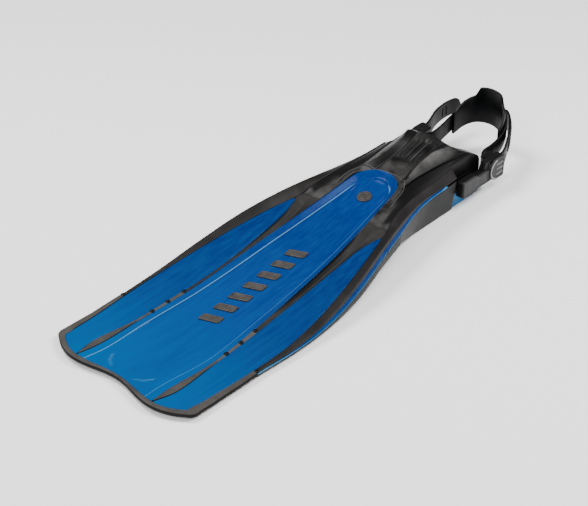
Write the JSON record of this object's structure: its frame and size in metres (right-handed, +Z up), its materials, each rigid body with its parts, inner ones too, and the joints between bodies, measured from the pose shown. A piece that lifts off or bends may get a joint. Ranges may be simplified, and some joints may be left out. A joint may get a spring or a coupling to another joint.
{
  "type": "open-heel swim fin",
  "caption": "Open-heel swim fin with a long two-colour blade, soft side rails, a foot pocket and a quick-release heel strap on swivelling buckles.",
  "frame": {"origin": "on the bottom face of the sole tread, on the centre line, under the front of the foot", "axes": "+Y points to the heel, -Y to the blade tip, +Z up, +X to the wearer's side that shows nearest in the three-quarter view"},
  "size_m": [0.2206, 0.7002, 0.0931],
  "materials": {
    "blade_blue": "glossy polypropylene, deep cobalt blue",
    "elastomer_black": "satin thermoplastic elastomer",
    "inlay_grey": "satin grey elastomer inlay",
    "buckle_grey": "fine textured grey plastic",
    "buckle_black": "matt black acetal",
    "stainless": "plain stainless pins and screws"
  },
  "bodies": {
    "root": {"badge_inlay": "inlay_grey", "buckle_post_left": "buckle_grey", "buckle_post_right": "buckle_grey", "center_panel": "blade_blue", "channel_web_left": "elastomer_black", "channel_web_right": "elastomer_black", "foot_pocket": "elastomer_black", "lower_rail_left": "elastomer_black", "lower_rail_right": "elastomer_black", "post_screw_left": "stainless", "post_screw_right": "stainless", "rail_core_left": "blade_blue", "rail_core_right": "blade_blue", "raised_bar_1": "inlay_grey", "raised_bar_2": "inlay_grey", "raised_bar_3": "inlay_grey", "raised_bar_4": "inlay_grey", "raised_bar_5": "inlay_grey", "raised_bar_6": "inlay_grey", "raised_bar_7": "inlay_grey", "sole_plate": "blade_blue", "sole_tread": "elastomer_black", "tip_rib_left": "elastomer_black", "tip_rib_right": "elastomer_black", "tip_trim": "elastomer_black", "upper_rail_left": "elastomer_black", "upper_rail_right": "elastomer_black", "wing_panel_left": "blade_blue", "wing_panel_right": "blade_blue"},
    "strap_assembly": {"buckle_cover_left": "buckle_grey", "buckle_cover_right": "buckle_grey", "buckle_frame_left": "buckle_black", "buckle_frame_right": "buckle_black", "heel_pad": "elastomer_black", "heel_strap": "elastomer_black", "lever_pin_left": "stainless", "lever_pin_right": "stainless", "lever_spring_left": "stainless", "lever_spring_right": "stainless", "strap_crossbar_left": "stainless", "strap_crossbar_right": "stainless"},
    "lever_left": {"lever_left": "buckle_grey"},
    "lever_right": {"lever_right": "buckle_grey"}
  },
  "joints": [
    {"name": "strap_swing", "type": "hinge", "parent": "root", "child": "strap_assembly", "pos_m": [0, 0.104, 0.027], "axis": [1, 0, 0], "range_deg": [-8, 80]},
    {"name": "lever_release_right", "type": "hinge", "parent": "strap_assembly", "child": "lever_right", "pos_m": [0.0614, 0.1505, 0.0295], "axis": [0, 0, -1], "range_deg": [0, 35], "stiffness_Nm_per_rad": 0.05},
    {"name": "lever_release_left", "type": "hinge", "parent": "strap_assembly", "child": "lever_left", "pos_m": [-0.0614, 0.1505, 0.0295], "axis": [0, 0, 1], "range_deg": [0, 35], "stiffness_Nm_per_rad": 0.05}
  ]
}
